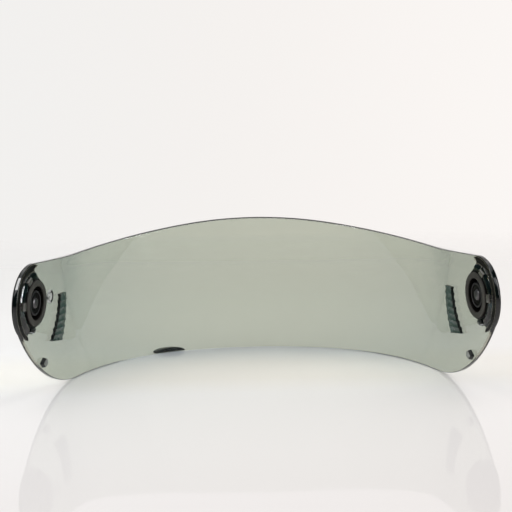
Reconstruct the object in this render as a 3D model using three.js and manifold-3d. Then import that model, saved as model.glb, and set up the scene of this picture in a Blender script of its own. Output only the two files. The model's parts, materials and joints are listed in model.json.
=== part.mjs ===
// Motorcycle helmet visor with its two side hubs, seen by its rider from inside.
// Millimetres, +Z up, +Y the way the rider looks, +X to the rider's right.
// It stands on the bottom edge of the shield, and the origin is the middle of its footprint.

import * as THREE from 'three';
import { mergeVertices } from 'three/addons/utils/BufferGeometryUtils.js';
import Module from 'manifold-3d';

// Shield plan: the outer face at the bottom edge, from the middle out to one end.
// Between the stations the curvature eases over, and the end stretch is flat.
const frontRadius = 113.5;
const frontLength = 20;
const shoulderRadius = 94.5;
const shoulderRun = 51.5;
const templeRadius = 147.5;
const templeRun = 62.5;
const settleRun = 45;

// Shield wall, and the lean of its rulings as inward travel for each unit of height.
// The lean falls off with the heading of the plan, by a slow part and a fast part.
const wall = 2.2;
const edgeBevel = 0.4;
const leanMiddleShare = 0.4235;
const leanEndShare = 0.057;
const leanSlowShare = 0.52;
const leanSlowPower = 2;
const leanFastPower = 5;

// Shield outline: a long arc on top, a level end, a round nose about the hub and a belly below it
const topMiddle = 89.85;
const topRadius = 725;
const topBlend = 6.2;
const hubReach = 45.6;
const hubHeight = 52;
const noseRadius = 20.65;
const bellyRadius = 105.5;

// Clearances and helpers for cuts
const seatGap = 0.3;
const turnGap = 0.4;
const overrun = 3;
const weld = 0.0001;

// Hub, from its axis outwards, and its levels inwards from the shield's outer face
const holeRadius = 11.7;
const boreRadius = 9;
const barrelRadius = 12.1;
const flangeRadius = 13.2;
const flangeThickness = 0.7;
const flangeBevel = 0.2;
const bodyFloor = 0.8;
const spigotReach = 1.4;
const ringThickness = 0.7;
const ringBevel = 0.15;
const barrelStep = 0.3;

// Sleeve and lock pin inside the hub
const sleeveRadius = 6.6;
const sleeveWall = 1.4;
const sleeveDrop = 0.9;
const sleeveRim = 1;
const lipDrop = 0.5;
const lipThickness = 0.6;
const pinRadius = 2.9;
const pinFlangeThickness = 0.7;
const pinDrop = 0.3;
const pinDome = 1.1;

// Collar moulded round the hub but open toward the middle, its notches, and the clips that sit in them
const collarWidth = 2.7;
const collarHeight = 1.3;
const collarRound = 0.5;
const collarSweepDegrees = 95;
const clipTurnsDegrees = [57, -1, -75];
const clipWidth = 4.2;
const clipDepth = 1.9;
const clipHookReach = 0.8;
const clipHookThickness = 0.6;
const clipFillet = 0.3;

// Side cover on the outer face: round behind the hub and wider along the nose, between two angles
const coverRadius = 16.2;
const coverReach = 19.6;
const coverTopDegrees = 101;
const coverFootDegrees = -85;
const coverBlendDegrees = 22;
const coverRim = 0.6;
const coverRise = 3.2;
const coverDomePower = 3;

// Detent rack, as an arc about the hub axis on the side away from the end
const rackRootRadius = 31.4;
const rackToothDepth = 1.3;
const rackTopWidth = 8.7;
const rackFootWidth = 12.6;
const rackStartDegrees = -2;
const rackSpanDegrees = 50;
const rackTeeth = 7;
const rackThickness = 2;
const rackFootLeanDegrees = 13;

// Lock lug near the belly edge: a five-sided block with sloped sides
const lugReach = 7.4;
const lugHeight = 5.7;
const lugMiddleIn = 12.8;
const lugMiddleDown = 33.9;
const lugThickness = 2.1;
const lugTopShare = 0.7;
const lugOutlineShares = [[-0.03, 0.5], [-0.34, 0.39], [-0.5, -0.23], [0.03, -0.5], [0.5, 0]];

// Plain round button beside the left hub
const buttonRadius = 3.75;
const buttonHeight = 1.1;
const buttonRound = 0.5;
const buttonIn = 20.3;
const buttonUp = 1.1;

// Lift tab along the bottom edge, left of the middle
const tabStart = 50.5;
const tabLength = 22.5;
const tabReach = 7;
const tabHeight = 3.4;
const tabLift = 0.6;
const tabScoop = 0.9;
const tabEndShare = 0.4;
const tabRoundPower = 4;

// Facet counts
const frontColumns = 46;
const endColumns = 16;
const planSteps = 4000;
const roundFacets = 48;
const tabColumns = 16;
const domeFacets = 4;
const coverFacets = 72;

const wasm = await Module();
wasm.setup();

// Plan curve of the shield, stepped along its length
const flatStart = frontLength + shoulderRun + templeRun + settleRun;
const shieldEnd = flatStart + hubReach + noseRadius + overrun / 2;
const planStretches = [
  { end: frontLength, from: 1 / frontRadius, to: 1 / frontRadius },
  { end: frontLength + shoulderRun, from: 1 / frontRadius, to: 1 / shoulderRadius },
  { end: flatStart - settleRun, from: 1 / shoulderRadius, to: 1 / templeRadius },
  { end: flatStart, from: 1 / templeRadius, to: 0 },
];

function curvatureAt(s) {
  let start = 0;
  for (const { end, from, to } of planStretches) {
    if (s < end) {
      return THREE.MathUtils.lerp(from, to, THREE.MathUtils.smoothstep(s, start, end));
    }
    start = end;
  }
  return 0;
}

const planStep = shieldEnd / planSteps;
const plan = [{ x: 0, y: 0, heading: 0 }];
for (let i = 0; i < planSteps; i += 1) {
  const last = plan[i];
  const turn = curvatureAt((i + 0.5) * planStep) * planStep;
  const middle = last.heading + turn / 2;
  plan.push({
    x: last.x + planStep * Math.cos(middle),
    y: last.y - planStep * Math.sin(middle),
    heading: last.heading + turn,
  });
}
const endHeading = plan[planSteps].heading;

function planAt(s) {
  const place = Math.min(Math.abs(s) / planStep, planSteps);
  const i = Math.min(Math.floor(place), planSteps - 1);
  const share = place - i;
  return {
    x: THREE.MathUtils.lerp(plan[i].x, plan[i + 1].x, share),
    y: THREE.MathUtils.lerp(plan[i].y, plan[i + 1].y, share),
    heading: THREE.MathUtils.lerp(plan[i].heading, plan[i + 1].heading, share),
  };
}

// Shield surface: s runs along the plan, z up the ruling and depth inwards through the wall.
// A negative s is the left half.
function shieldFrame(s, z) {
  const { x, y, heading } = planAt(s);
  const part = Math.min(heading / endHeading, 1);
  const slow = leanSlowShare * part ** leanSlowPower;
  const fast = (1 - leanSlowShare) * part ** leanFastPower;
  const fall = leanMiddleShare - leanEndShare;
  const lean = leanMiddleShare - fall * (slow + fast);
  const curvature = curvatureAt(Math.abs(s));
  const rate = part > 0 ? (leanSlowPower * slow + leanFastPower * fast) / heading : 0;
  const leanRate = -fall * rate * curvature;
  const along = new THREE.Vector3(Math.cos(heading), -Math.sin(heading), 0);
  const inward = new THREE.Vector3(-Math.sin(heading), -Math.cos(heading), 0);
  const ruling = inward.clone().multiplyScalar(lean).setZ(1);
  const stretch = 1 - z * curvature * lean;
  const normal = inward.clone().multiplyScalar(stretch).addScaledVector(along, -z * leanRate);
  normal.setZ(-stretch * lean);
  normal.normalize();
  const point = new THREE.Vector3(x, y, 0).addScaledVector(ruling, z);
  const frame = { point, along, ruling: ruling.normalize(), normal };
  if (s < 0) {
    for (const vector of Object.values(frame)) {
      vector.x = -vector.x;
    }
  }
  return frame;
}

function shieldPoint(s, z, depth) {
  const { point, normal } = shieldFrame(s, z);
  return point.addScaledVector(normal, depth);
}

// The same, with z as the true height of the point at that depth
function levelPoint(s, z, depth) {
  const { normal } = shieldFrame(s, z);
  return shieldPoint(s, z - depth * normal.z, depth).setZ(z);
}

// Outline heights along the plan
const bellyRun = Math.sqrt((bellyRadius - noseRadius) ** 2 - (bellyRadius - hubHeight) ** 2);
const bellyStart = flatStart + hubReach - bellyRun;
const topEnd = hubHeight + noseRadius;

function bottomEdge(s) {
  const run = Math.max(0, Math.abs(s) - bellyStart);
  return bellyRadius - Math.sqrt(bellyRadius ** 2 - run ** 2);
}

function topEdge(s) {
  const arc = topMiddle - s ** 2 / (2 * topRadius);
  if (Math.abs(s) > flatStart + hubReach) {
    return topEnd;
  }
  const settle = 1 - Math.abs(s) / (flatStart + hubReach);
  return (arc + topEnd + Math.hypot(arc - topEnd, topBlend * Math.sqrt(settle))) / 2;
}

// A closed body through a row of like sections, with a fan on each end
function loft(sections) {
  const positions = [];
  const indices = [];
  const around = sections[0].length;
  for (const section of sections) {
    for (const point of section) {
      positions.push(point.x, point.y, point.z);
    }
  }
  for (let i = 0; i + 1 < sections.length; i += 1) {
    for (let j = 0; j < around; j += 1) {
      const a = i * around + j;
      const b = i * around + (j + 1) % around;
      indices.push(a, b, b + around, a, b + around, a + around);
    }
  }
  const ends = [[0, 1], [sections.length - 1, -1]];
  for (const [row, way] of ends) {
    const middle = new THREE.Vector3();
    for (const point of sections[row]) {
      middle.addScaledVector(point, 1 / around);
    }
    const hubIndex = positions.length / 3;
    positions.push(middle.x, middle.y, middle.z);
    for (let j = 0; j < around; j += 1) {
      const a = row * around + j;
      const b = row * around + (j + 1) % around;
      indices.push(hubIndex, way > 0 ? b : a, way > 0 ? a : b);
    }
  }
  const geometry = new THREE.BufferGeometry();
  geometry.setAttribute('position', new THREE.Float32BufferAttribute(positions, 3));
  geometry.setIndex(indices);
  return facedOut(geometry);
}

// Turns a closed body's faces outwards
function facedOut(geometry) {
  const place = geometry.attributes.position;
  const index = geometry.index.array;
  const corners = [new THREE.Vector3(), new THREE.Vector3(), new THREE.Vector3()];
  let volume = 0;
  for (let i = 0; i < index.length; i += 3) {
    corners.forEach((corner, k) => corner.fromBufferAttribute(place, index[i + k]));
    volume += corners[0].dot(corners[1].cross(corners[2]));
  }
  if (volume < 0) {
    for (let i = 0; i < index.length; i += 3) {
      [index[i], index[i + 1]] = [index[i + 1], index[i]];
    }
  }
  return geometry;
}

// Solids that can be joined and cut, and the way back
function toSolid(geometry) {
  const bare = geometry.clone();
  bare.deleteAttribute('normal');
  bare.deleteAttribute('uv');
  const merged = mergeVertices(bare, weld);
  const triangles = [];
  const index = merged.index.array;
  for (let i = 0; i < index.length; i += 3) {
    const [a, b, c] = [index[i], index[i + 1], index[i + 2]];
    if (a !== b && b !== c && c !== a) {
      triangles.push(a, b, c);
    }
  }
  return new wasm.Manifold(new wasm.Mesh({
    numProp: 3,
    vertProperties: new Float32Array(merged.attributes.position.array),
    triVerts: new Uint32Array(triangles),
  }));
}

function toGeometry(solid) {
  const mesh = solid.getMesh();
  const geometry = new THREE.BufferGeometry();
  geometry.setAttribute('position', new THREE.BufferAttribute(mesh.vertProperties, 3));
  geometry.setIndex(new THREE.BufferAttribute(mesh.triVerts, 1));
  geometry.computeVertexNormals();
  return geometry;
}

// A turned piece about the hub axis, from [radius, level] pairs, levels running inwards
function turned(profile, facets = roundFacets) {
  const points = profile.map(([radius, level]) => new THREE.Vector2(radius, level));
  return new THREE.LatheGeometry(points, facets).rotateX(Math.PI / 2);
}

function slab(shape, low, high) {
  const geometry = new THREE.ExtrudeGeometry(shape, {
    depth: high - low,
    bevelEnabled: false,
    curveSegments: roundFacets,
  });
  return geometry.translate(0, 0, low);
}

// Frame of one end: origin on the outer face at the hub axis, +Y up and +Z inwards.
// +X runs toward the end on the right side and away from it on the left.
function endMatrix(side) {
  const { point, along, ruling, normal } = shieldFrame(side * (flatStart + hubReach), hubHeight);
  return new THREE.Matrix4().makeBasis(along.multiplyScalar(side), ruling, normal).setPosition(point);
}

// Levels of the hub, inwards from the outer face
const flangeLow = wall + seatGap;
const flangeHigh = flangeLow + flangeThickness;
const barrelHigh = flangeHigh + barrelStep;
const ringLow = barrelHigh + seatGap;
const ringHigh = ringLow + ringThickness;
const spigotRadius = holeRadius - turnGap;
const floorTop = bodyFloor - spigotReach;
const collarRadius = flangeRadius + seatGap;

// Shield: the curved wall, its noses, hub holes, collars and notches
function shieldWall() {
  const stops = [];
  for (let i = 0; i <= frontColumns; i += 1) {
    stops.push(i / frontColumns * flatStart);
  }
  for (let i = 1; i <= endColumns; i += 1) {
    stops.push(flatStart + i / endColumns * (shieldEnd - flatStart));
  }
  const columns = [...stops.slice(1).reverse().map((s) => -s), ...stops];
  return loft(columns.map((s) => {
    const low = bottomEdge(s);
    const high = topEdge(s);
    return [
      levelPoint(s, low + edgeBevel, 0),
      shieldPoint(s, high - edgeBevel, 0),
      shieldPoint(s, high, edgeBevel),
      shieldPoint(s, high, wall - edgeBevel),
      shieldPoint(s, high - edgeBevel, wall),
      levelPoint(s, low + edgeBevel, wall),
      levelPoint(s, low, wall - edgeBevel),
      levelPoint(s, low, edgeBevel),
    ];
  }));
}

function noseCutter(side) {
  const reach = noseRadius + overrun;
  const meet = -Math.asin((bellyRadius - hubHeight) / (bellyRadius - noseRadius));
  const outline = [new THREE.Vector2(0, reach), new THREE.Vector2(reach, reach)];
  outline.push(new THREE.Vector2(reach, reach * Math.sin(meet)));
  outline.push(new THREE.Vector2(reach * Math.cos(meet), reach * Math.sin(meet)));
  for (let i = 0; i <= roundFacets; i += 1) {
    const angle = THREE.MathUtils.lerp(meet, Math.PI / 2, i / roundFacets);
    outline.push(new THREE.Vector2(noseRadius * Math.cos(angle), noseRadius * Math.sin(angle)));
  }
  const shape = new THREE.Shape(outline.map((point) => new THREE.Vector2(side * point.x, point.y)));
  return slab(shape, -overrun, wall + overrun);
}

function collar() {
  const outer = collarRadius + collarWidth;
  const top = wall + collarHeight;
  return turned([
    [collarRadius, wall - edgeBevel],
    [outer, wall - edgeBevel],
    [outer, top - collarRound],
    [outer - collarRound, top],
    [collarRadius, top],
    [collarRadius, wall - edgeBevel],
  ]);
}

// What leaves the collar open past its sweep on each side of the end's own axis
function collarOpening(side) {
  const reach = collarRadius + collarWidth + overrun;
  const sweep = THREE.MathUtils.degToRad(collarSweepDegrees);
  const corners = [
    [0, 0],
    [reach * Math.cos(sweep), reach * Math.sin(sweep)],
    [-reach, reach * Math.sin(sweep)],
    [-reach, -reach * Math.sin(sweep)],
    [reach * Math.cos(sweep), -reach * Math.sin(sweep)],
  ];
  const shape = new THREE.Shape(corners.map(([x, y]) => new THREE.Vector2(side * x, y)));
  return slab(shape, wall, wall + overrun);
}

function clipTurn(side, degrees) {
  const angle = THREE.MathUtils.degToRad(degrees);
  return side > 0 ? angle : Math.PI - angle;
}

function clipNotch(turn) {
  const inner = collarRadius - overrun / 2;
  const outer = collarRadius + clipDepth + seatGap;
  const width = clipWidth + 2 * seatGap;
  const notch = new THREE.BoxGeometry(outer - inner, width, overrun);
  notch.translate((inner + outer) / 2, 0, wall + overrun / 2);
  return notch.rotateZ(turn);
}

let shieldSolid = toSolid(shieldWall());
for (const side of [-1, 1]) {
  const matrix = endMatrix(side);
  let ring = toSolid(collar()).subtract(toSolid(collarOpening(side)));
  for (const degrees of clipTurnsDegrees) {
    ring = ring.subtract(toSolid(clipNotch(clipTurn(side, degrees))));
  }
  const hole = turned([
    [0, -overrun],
    [holeRadius, -overrun],
    [holeRadius, wall + overrun],
    [0, wall + overrun],
  ]);
  shieldSolid = shieldSolid.subtract(toSolid(noseCutter(side).applyMatrix4(matrix)));
  shieldSolid = shieldSolid.add(toSolid(toGeometry(ring).applyMatrix4(matrix)));
  shieldSolid = shieldSolid.subtract(toSolid(hole.applyMatrix4(matrix)));
}
const shieldGeometry = toGeometry(shieldSolid);

// Hub body: spigot through the hole, flange under the clips and a short barrel above it
const hubBodyGeometry = turned([
  [0, -spigotReach],
  [spigotRadius - flangeBevel, -spigotReach],
  [spigotRadius, -spigotReach + flangeBevel],
  [spigotRadius, flangeLow],
  [flangeRadius, flangeLow],
  [flangeRadius, flangeHigh - flangeBevel],
  [flangeRadius - flangeBevel, flangeHigh],
  [barrelRadius, flangeHigh],
  [barrelRadius, barrelHigh],
  [boreRadius, barrelHigh],
  [boreRadius, floorTop],
  [0, floorTop],
]);

// Face ring on the barrel
const hubRingGeometry = turned([
  [boreRadius, ringLow],
  [barrelRadius, ringLow],
  [barrelRadius, ringHigh - ringBevel],
  [barrelRadius - ringBevel, ringHigh],
  [boreRadius + ringBevel, ringHigh],
  [boreRadius, ringHigh - ringBevel],
  [boreRadius, ringLow],
]);

// Sleeve on the hub's floor, with a lip that keeps the lock pin in
const sleeveLow = floorTop + seatGap;
const sleeveHigh = ringHigh - sleeveDrop;
const sleeveBore = sleeveRadius - sleeveWall;
const lipBore = pinRadius + turnGap;
const lipHigh = sleeveHigh - lipDrop;
const hubSleeveGeometry = turned([
  [sleeveBore, sleeveLow],
  [sleeveRadius, sleeveLow],
  [sleeveRadius, sleeveHigh - ringBevel],
  [sleeveRadius - ringBevel, sleeveHigh],
  [sleeveRadius - sleeveRim, sleeveHigh],
  [sleeveRadius - sleeveRim, lipHigh],
  [lipBore, lipHigh],
  [lipBore, lipHigh - lipThickness],
  [sleeveBore, lipHigh - lipThickness],
  [sleeveBore, sleeveLow],
]);

// Lock pin: flange under the lip and a domed head
const pinFlangeHigh = lipHigh - lipThickness - seatGap;
const pinFlangeLow = pinFlangeHigh - pinFlangeThickness;
const pinTip = ringHigh - pinDrop;
const pinProfile = [
  [0, pinFlangeLow],
  [sleeveBore - turnGap, pinFlangeLow],
  [sleeveBore - turnGap, pinFlangeHigh],
  [pinRadius, pinFlangeHigh],
];
for (let i = 0; i < domeFacets; i += 1) {
  const angle = i / domeFacets * Math.PI / 2;
  pinProfile.push([pinRadius * Math.cos(angle), pinTip - pinDome * (1 - Math.sin(angle))]);
}
pinProfile.push([0, pinTip]);
const lockPinGeometry = turned(pinProfile, roundFacets / 2);

// Side cover: a shallow dome over the hub that follows the nose, hollow where the hub turns
function coverRadiusAt(degrees) {
  const half = coverBlendDegrees / 2;
  const top = THREE.MathUtils.smoothstep(coverTopDegrees - degrees, -half, half);
  const foot = THREE.MathUtils.smoothstep(degrees - coverFootDegrees, -half, half);
  return THREE.MathUtils.lerp(coverRadius, coverReach, top * foot);
}

function coverDome(radius) {
  const height = 1 - (radius / coverReach) ** coverDomePower;
  return -seatGap - THREE.MathUtils.lerp(coverRim, coverRise, height);
}

function coverRing(side, radiusAt, levelAt) {
  const ring = [];
  for (let i = 0; i < coverFacets; i += 1) {
    const degrees = i / coverFacets * 360 - 180;
    const angle = THREE.MathUtils.degToRad(degrees);
    const radius = radiusAt(degrees);
    ring.push(new THREE.Vector3(side * radius * Math.cos(angle), radius * Math.sin(angle), levelAt(radius)));
  }
  return ring;
}

function coverGeometry(side) {
  const bore = holeRadius + seatGap;
  const sections = [
    coverRing(side, () => bore, () => -spigotReach - seatGap),
    coverRing(side, () => bore, () => -seatGap),
    coverRing(side, coverRadiusAt, () => -seatGap),
  ];
  for (let i = 0; i < 2 * domeFacets; i += 1) {
    const share = 1 - i / (2 * domeFacets);
    sections.push(coverRing(side, (degrees) => share * coverRadiusAt(degrees), coverDome));
  }
  return loft(sections);
}

// Clip: a post in the collar's notch with a hook over the hub's flange
function clipGeometry() {
  const root = collarRadius;
  const back = collarRadius + clipDepth;
  const foot = wall + seatGap;
  const underHook = flangeHigh + seatGap;
  const top = underHook + clipHookThickness;
  const shape = new THREE.Shape();
  shape.moveTo(root, foot);
  shape.lineTo(back, foot);
  shape.lineTo(back, top - clipFillet);
  shape.quadraticCurveTo(back, top, back - clipFillet, top);
  shape.lineTo(root - clipHookReach + clipFillet, top);
  shape.lineTo(root - clipHookReach, underHook);
  shape.lineTo(root, underHook);
  shape.closePath();
  const geometry = new THREE.ExtrudeGeometry(shape, {
    depth: clipWidth,
    bevelEnabled: false,
    curveSegments: domeFacets,
  });
  return geometry.translate(0, 0, -clipWidth / 2).rotateX(Math.PI / 2);
}

// Rack: an arc of scallops that faces the hub, with a smooth back and a slanted foot
function rackGeometry(side) {
  const outline = [];
  const inner = rackTeeth * domeFacets;
  const start = THREE.MathUtils.degToRad(rackStartDegrees);
  const span = THREE.MathUtils.degToRad(rackSpanDegrees);
  for (let i = 0; i <= inner; i += 1) {
    const share = i / inner;
    const radius = rackRootRadius + rackToothDepth * Math.abs(Math.sin(share * rackTeeth * Math.PI));
    const angle = start + share * span;
    outline.push([radius * Math.cos(angle), radius * Math.sin(angle)]);
  }
  const outerSpan = span - THREE.MathUtils.degToRad(rackFootLeanDegrees);
  for (let i = inner; i >= 0; i -= 2) {
    const share = i / inner;
    const radius = rackRootRadius + THREE.MathUtils.lerp(rackTopWidth, rackFootWidth, share);
    const angle = start + share * outerSpan;
    outline.push([radius * Math.cos(angle), radius * Math.sin(angle)]);
  }
  const shape = new THREE.Shape(outline.map(([back, down]) => new THREE.Vector2(-side * back, -down)));
  return slab(shape, wall + seatGap, wall + seatGap + rackThickness);
}

// Lug: the same five corners at the foot and, drawn in, at the top
function lugGeometry(side) {
  const sections = [[wall + seatGap, 1], [wall + seatGap + lugThickness, lugTopShare]];
  return loft(sections.map(([level, share]) => lugOutlineShares.map(([across, up]) => new THREE.Vector3(
    side * (across * share * lugReach - lugMiddleIn),
    up * share * lugHeight - lugMiddleDown,
    level,
  ))));
}

// Button: a low round boss with a soft edge
function buttonGeometry() {
  const foot = wall + seatGap;
  const top = foot + buttonHeight;
  return turned([
    [0, foot],
    [buttonRadius, foot],
    [buttonRadius, top - buttonRound],
    [buttonRadius - buttonRound, top],
    [0, top],
  ], roundFacets / 2);
}

// Lift tab: a lip that follows the outer face and fades out at both ends
function tabGeometry() {
  const sections = [];
  for (let i = 0; i <= tabColumns; i += 1) {
    const share = i / tabColumns * 2 - 1;
    const s = -tabStart - tabLength * i / tabColumns;
    const round = (1 - Math.abs(share) ** tabRoundPower) ** (1 / tabRoundPower);
    const reach = tabReach * THREE.MathUtils.lerp(tabEndShare, 1, round);
    const scoop = tabScoop * round;
    const low = tabLift;
    const high = tabLift + tabHeight;
    sections.push([
      levelPoint(s, low, -seatGap),
      levelPoint(s, low + scoop, -seatGap - reach / 2),
      levelPoint(s, low + scoop / 2, -seatGap - reach + edgeBevel),
      levelPoint(s, low + scoop, -seatGap - reach),
      levelPoint(s, high - scoop, -seatGap - reach),
      levelPoint(s, high - scoop / 2, -seatGap - reach + edgeBevel),
      levelPoint(s, high, -seatGap - reach / 2),
      levelPoint(s, high, -seatGap),
    ]);
  }
  return loft(sections);
}

// Materials
function finish(color, roughness, metalness = 0) {
  return new THREE.MeshStandardMaterial({ color, roughness, metalness });
}

const smoke = finish(0x9aa398, 0.08);
const darkTint = finish(0x35443f, 0.2);
const blackPlastic = finish(0x141414, 0.5);
const greyPlastic = finish(0x4a4745, 0.6);
const brightClip = finish(0xb8bcba, 0.25, 0.6);

function piece(name, geometry, material) {
  const mesh = new THREE.Mesh(geometry, material);
  mesh.name = name;
  return mesh;
}

// Assembly
const visor = new THREE.Group();
visor.add(piece('shield', shieldGeometry, smoke));
visor.add(piece('lift_tab', tabGeometry(), blackPlastic));

for (const side of [-1, 1]) {
  const hand = side > 0 ? 'right' : 'left';
  const end = new THREE.Group();
  end.applyMatrix4(endMatrix(side));
  end.add(piece(`rack_${hand}`, rackGeometry(side), darkTint));
  end.add(piece(`lock_lug_${hand}`, lugGeometry(side), darkTint));
  end.add(piece(`hub_body_${hand}`, hubBodyGeometry, blackPlastic));
  end.add(piece(`hub_ring_${hand}`, hubRingGeometry, greyPlastic));
  end.add(piece(`hub_sleeve_${hand}`, hubSleeveGeometry, greyPlastic));
  end.add(piece(`lock_pin_${hand}`, lockPinGeometry, greyPlastic));
  end.add(piece(`side_cover_${hand}`, coverGeometry(side), blackPlastic));

  for (const [number, degrees] of clipTurnsDegrees.entries()) {
    const clip = piece(`clip_${hand}_${number + 1}`, clipGeometry(), brightClip);
    clip.rotation.z = clipTurn(side, degrees);
    end.add(clip);
  }
  if (side < 0) {
    const button = piece('index_button', buttonGeometry(), smoke);
    button.position.set(-side * buttonIn, buttonUp, 0);
    end.add(button);
  }
  visor.add(end);
}

// The origin is the middle of the footprint
const extent = new THREE.Box3().setFromObject(visor);
visor.position.y = -(extent.min.y + extent.max.y) / 2;

const group = new THREE.Group();
group.add(visor);

export default group;
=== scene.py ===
# Helmet visor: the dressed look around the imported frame.
# Shapes are worked out in millimetres and placed in metres.

import json
import math

import bmesh
import bpy
import numpy as np
from mathutils import Matrix, Vector, geometry

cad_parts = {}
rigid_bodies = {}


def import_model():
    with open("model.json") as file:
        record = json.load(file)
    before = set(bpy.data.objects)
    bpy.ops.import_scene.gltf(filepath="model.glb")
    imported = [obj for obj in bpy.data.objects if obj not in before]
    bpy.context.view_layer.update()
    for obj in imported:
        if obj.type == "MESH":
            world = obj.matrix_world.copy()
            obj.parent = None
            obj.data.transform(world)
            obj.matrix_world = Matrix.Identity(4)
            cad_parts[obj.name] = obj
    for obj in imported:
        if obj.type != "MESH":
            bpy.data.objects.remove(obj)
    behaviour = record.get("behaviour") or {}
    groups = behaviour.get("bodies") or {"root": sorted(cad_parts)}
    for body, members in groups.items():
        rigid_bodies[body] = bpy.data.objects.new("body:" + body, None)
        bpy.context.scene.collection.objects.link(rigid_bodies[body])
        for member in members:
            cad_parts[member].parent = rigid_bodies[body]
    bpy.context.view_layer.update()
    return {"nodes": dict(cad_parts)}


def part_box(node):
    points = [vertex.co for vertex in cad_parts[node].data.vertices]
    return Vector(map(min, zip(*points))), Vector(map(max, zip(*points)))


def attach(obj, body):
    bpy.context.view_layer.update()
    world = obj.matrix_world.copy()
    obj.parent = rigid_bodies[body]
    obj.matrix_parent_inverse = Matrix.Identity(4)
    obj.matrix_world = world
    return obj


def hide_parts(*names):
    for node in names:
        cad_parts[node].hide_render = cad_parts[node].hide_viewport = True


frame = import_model()
mm = 0.001
tiny = 1e-9
ends = ((-1, "left"), (1, "right"))
print("frame loaded,", len(frame["nodes"]), "nodes")


# the shield's own surface, as the frame was drawn

shieldSize = {
    "frontRadius": 113.5, "frontLength": 20,
    "shoulderRadius": 94.5, "shoulderRun": 51.5,
    "templeRadius": 147.5, "templeRun": 62.5, "settleRun": 45,
    "wall": 2.2, "cadBevel": 0.4,
    "leanMiddle": 0.4235, "leanEnd": 0.057, "leanSlow": 0.52, "slowPower": 2, "fastPower": 5,
    "topMiddle": 89.85, "topRadius": 725, "topBlend": 6.2,
    "hubReach": 45.6, "hubHeight": 52, "noseRadius": 20.65, "bellyRadius": 105.5,
    "planSteps": 6000, "planPast": 30,
}

planLengths = [shieldSize[key] for key in ("frontLength", "shoulderRun", "templeRun", "settleRun")]
planRadii = [shieldSize[key] for key in ("frontRadius", "frontRadius", "shoulderRadius", "templeRadius")]
planBends = [1 / radius for radius in planRadii] + [0]
hubRun = sum(planLengths) + shieldSize["hubReach"]
wall = shieldSize["wall"]


def eased(share):
    share = np.clip(share, 0, 1)
    return share * share * (3 - 2 * share)


def curvatureOf(run):
    found = np.zeros_like(run)
    start = 0
    for number, length in enumerate(planLengths):
        here = (run >= start) & (run < start + length)
        change = (planBends[number + 1] - planBends[number]) * eased((run - start) / length)
        found[here] = (planBends[number] + change)[here]
        start += length
    return found


planStep = (hubRun + shieldSize["planPast"]) / shieldSize["planSteps"]
planRuns = np.arange(shieldSize["planSteps"] + 1) * planStep
planTurns = curvatureOf(planRuns[:-1] + planStep / 2) * planStep
planHeads = np.concatenate([[0], np.cumsum(planTurns)])
planMiddles = planHeads[:-1] + planTurns / 2
planX = np.concatenate([[0], np.cumsum(np.cos(planMiddles) * planStep)])
planY = np.concatenate([[0], -np.cumsum(np.sin(planMiddles) * planStep)])
endHead = planHeads[-1]
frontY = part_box("shield")[1].y / mm + shieldSize["leanMiddle"] * shieldSize["cadBevel"]


def shieldFrame(run, height):
    # point, along, ruling, normal and stretch of the outer face; the left half's runs are negative
    run, height = np.broadcast_arrays(np.asarray(run, float), np.asarray(height, float))
    away = np.abs(run)
    head = np.interp(away, planRuns, planHeads)
    share = np.minimum(head / endHead, 1)
    slowPower, fastPower = shieldSize["slowPower"], shieldSize["fastPower"]
    slow = shieldSize["leanSlow"] * share ** slowPower
    fast = (1 - shieldSize["leanSlow"]) * share ** fastPower
    fall = shieldSize["leanMiddle"] - shieldSize["leanEnd"]
    lean = shieldSize["leanMiddle"] - fall * (slow + fast)
    bend = curvatureOf(away)
    leanRate = -fall * bend * (slowPower * slow + fastPower * fast) / np.maximum(head, tiny)
    zero = np.zeros_like(head)
    along = np.stack([np.cos(head), -np.sin(head), zero], -1)
    inward = np.stack([-np.sin(head), -np.cos(head), zero], -1)
    ruling = inward * lean[..., None] + np.array([0, 0, 1.0])
    stretch = 1 - height * bend * lean
    normal = inward * stretch[..., None] - along * (height * leanRate)[..., None]
    normal[..., 2] = -stretch * lean
    normal /= np.linalg.norm(normal, axis=-1, keepdims=True)
    start = np.stack([np.interp(away, planRuns, planX), frontY + np.interp(away, planRuns, planY), zero], -1)
    point = start + ruling * height[..., None]
    mirror = np.where(run < 0, -1.0, 1.0)
    for vectors in (point, along, ruling, normal):
        vectors[..., 0] *= mirror
    return point, along, ruling, normal, stretch


def shieldPoint(run, height, depth):
    point, _, _, normal, _ = shieldFrame(run, height)
    return point + normal * np.asarray(depth, float)[..., None]


# one end's own axes: x toward the end, y up, z inward; the left end is the right one mirrored
hubPoint, hubAlong, hubRuling, hubInward, _ = shieldFrame(hubRun, shieldSize["hubHeight"])
rulingLength = float(np.linalg.norm(hubRuling))
hubUp = hubRuling / rulingLength


def endPoints(points, side):
    points = np.asarray(points, float)
    placed = hubPoint + points[:, :1] * hubAlong + points[:, 1:2] * hubUp + points[:, 2:] * hubInward
    if side < 0:
        placed[:, 0] *= -1
    return placed


def bellyStart():
    size = shieldSize
    rise = size["bellyRadius"] - size["hubHeight"]
    return hubRun - math.sqrt((size["bellyRadius"] - size["noseRadius"]) ** 2 - rise ** 2)


def bottomEdge(run):
    past = np.maximum(0, np.abs(run) - bellyStart())
    return shieldSize["bellyRadius"] - np.sqrt(shieldSize["bellyRadius"] ** 2 - past ** 2)


def topEdge(run):
    arc = shieldSize["topMiddle"] - run ** 2 / (2 * shieldSize["topRadius"])
    level = shieldSize["hubHeight"] + shieldSize["noseRadius"]
    settle = np.maximum(1 - np.abs(run) / hubRun, 0)
    return (arc + level + np.hypot(arc - level, shieldSize["topBlend"] * np.sqrt(settle))) / 2


# building helpers; edges that turn by more than sharpAngle, in degrees, stay sharp

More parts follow.
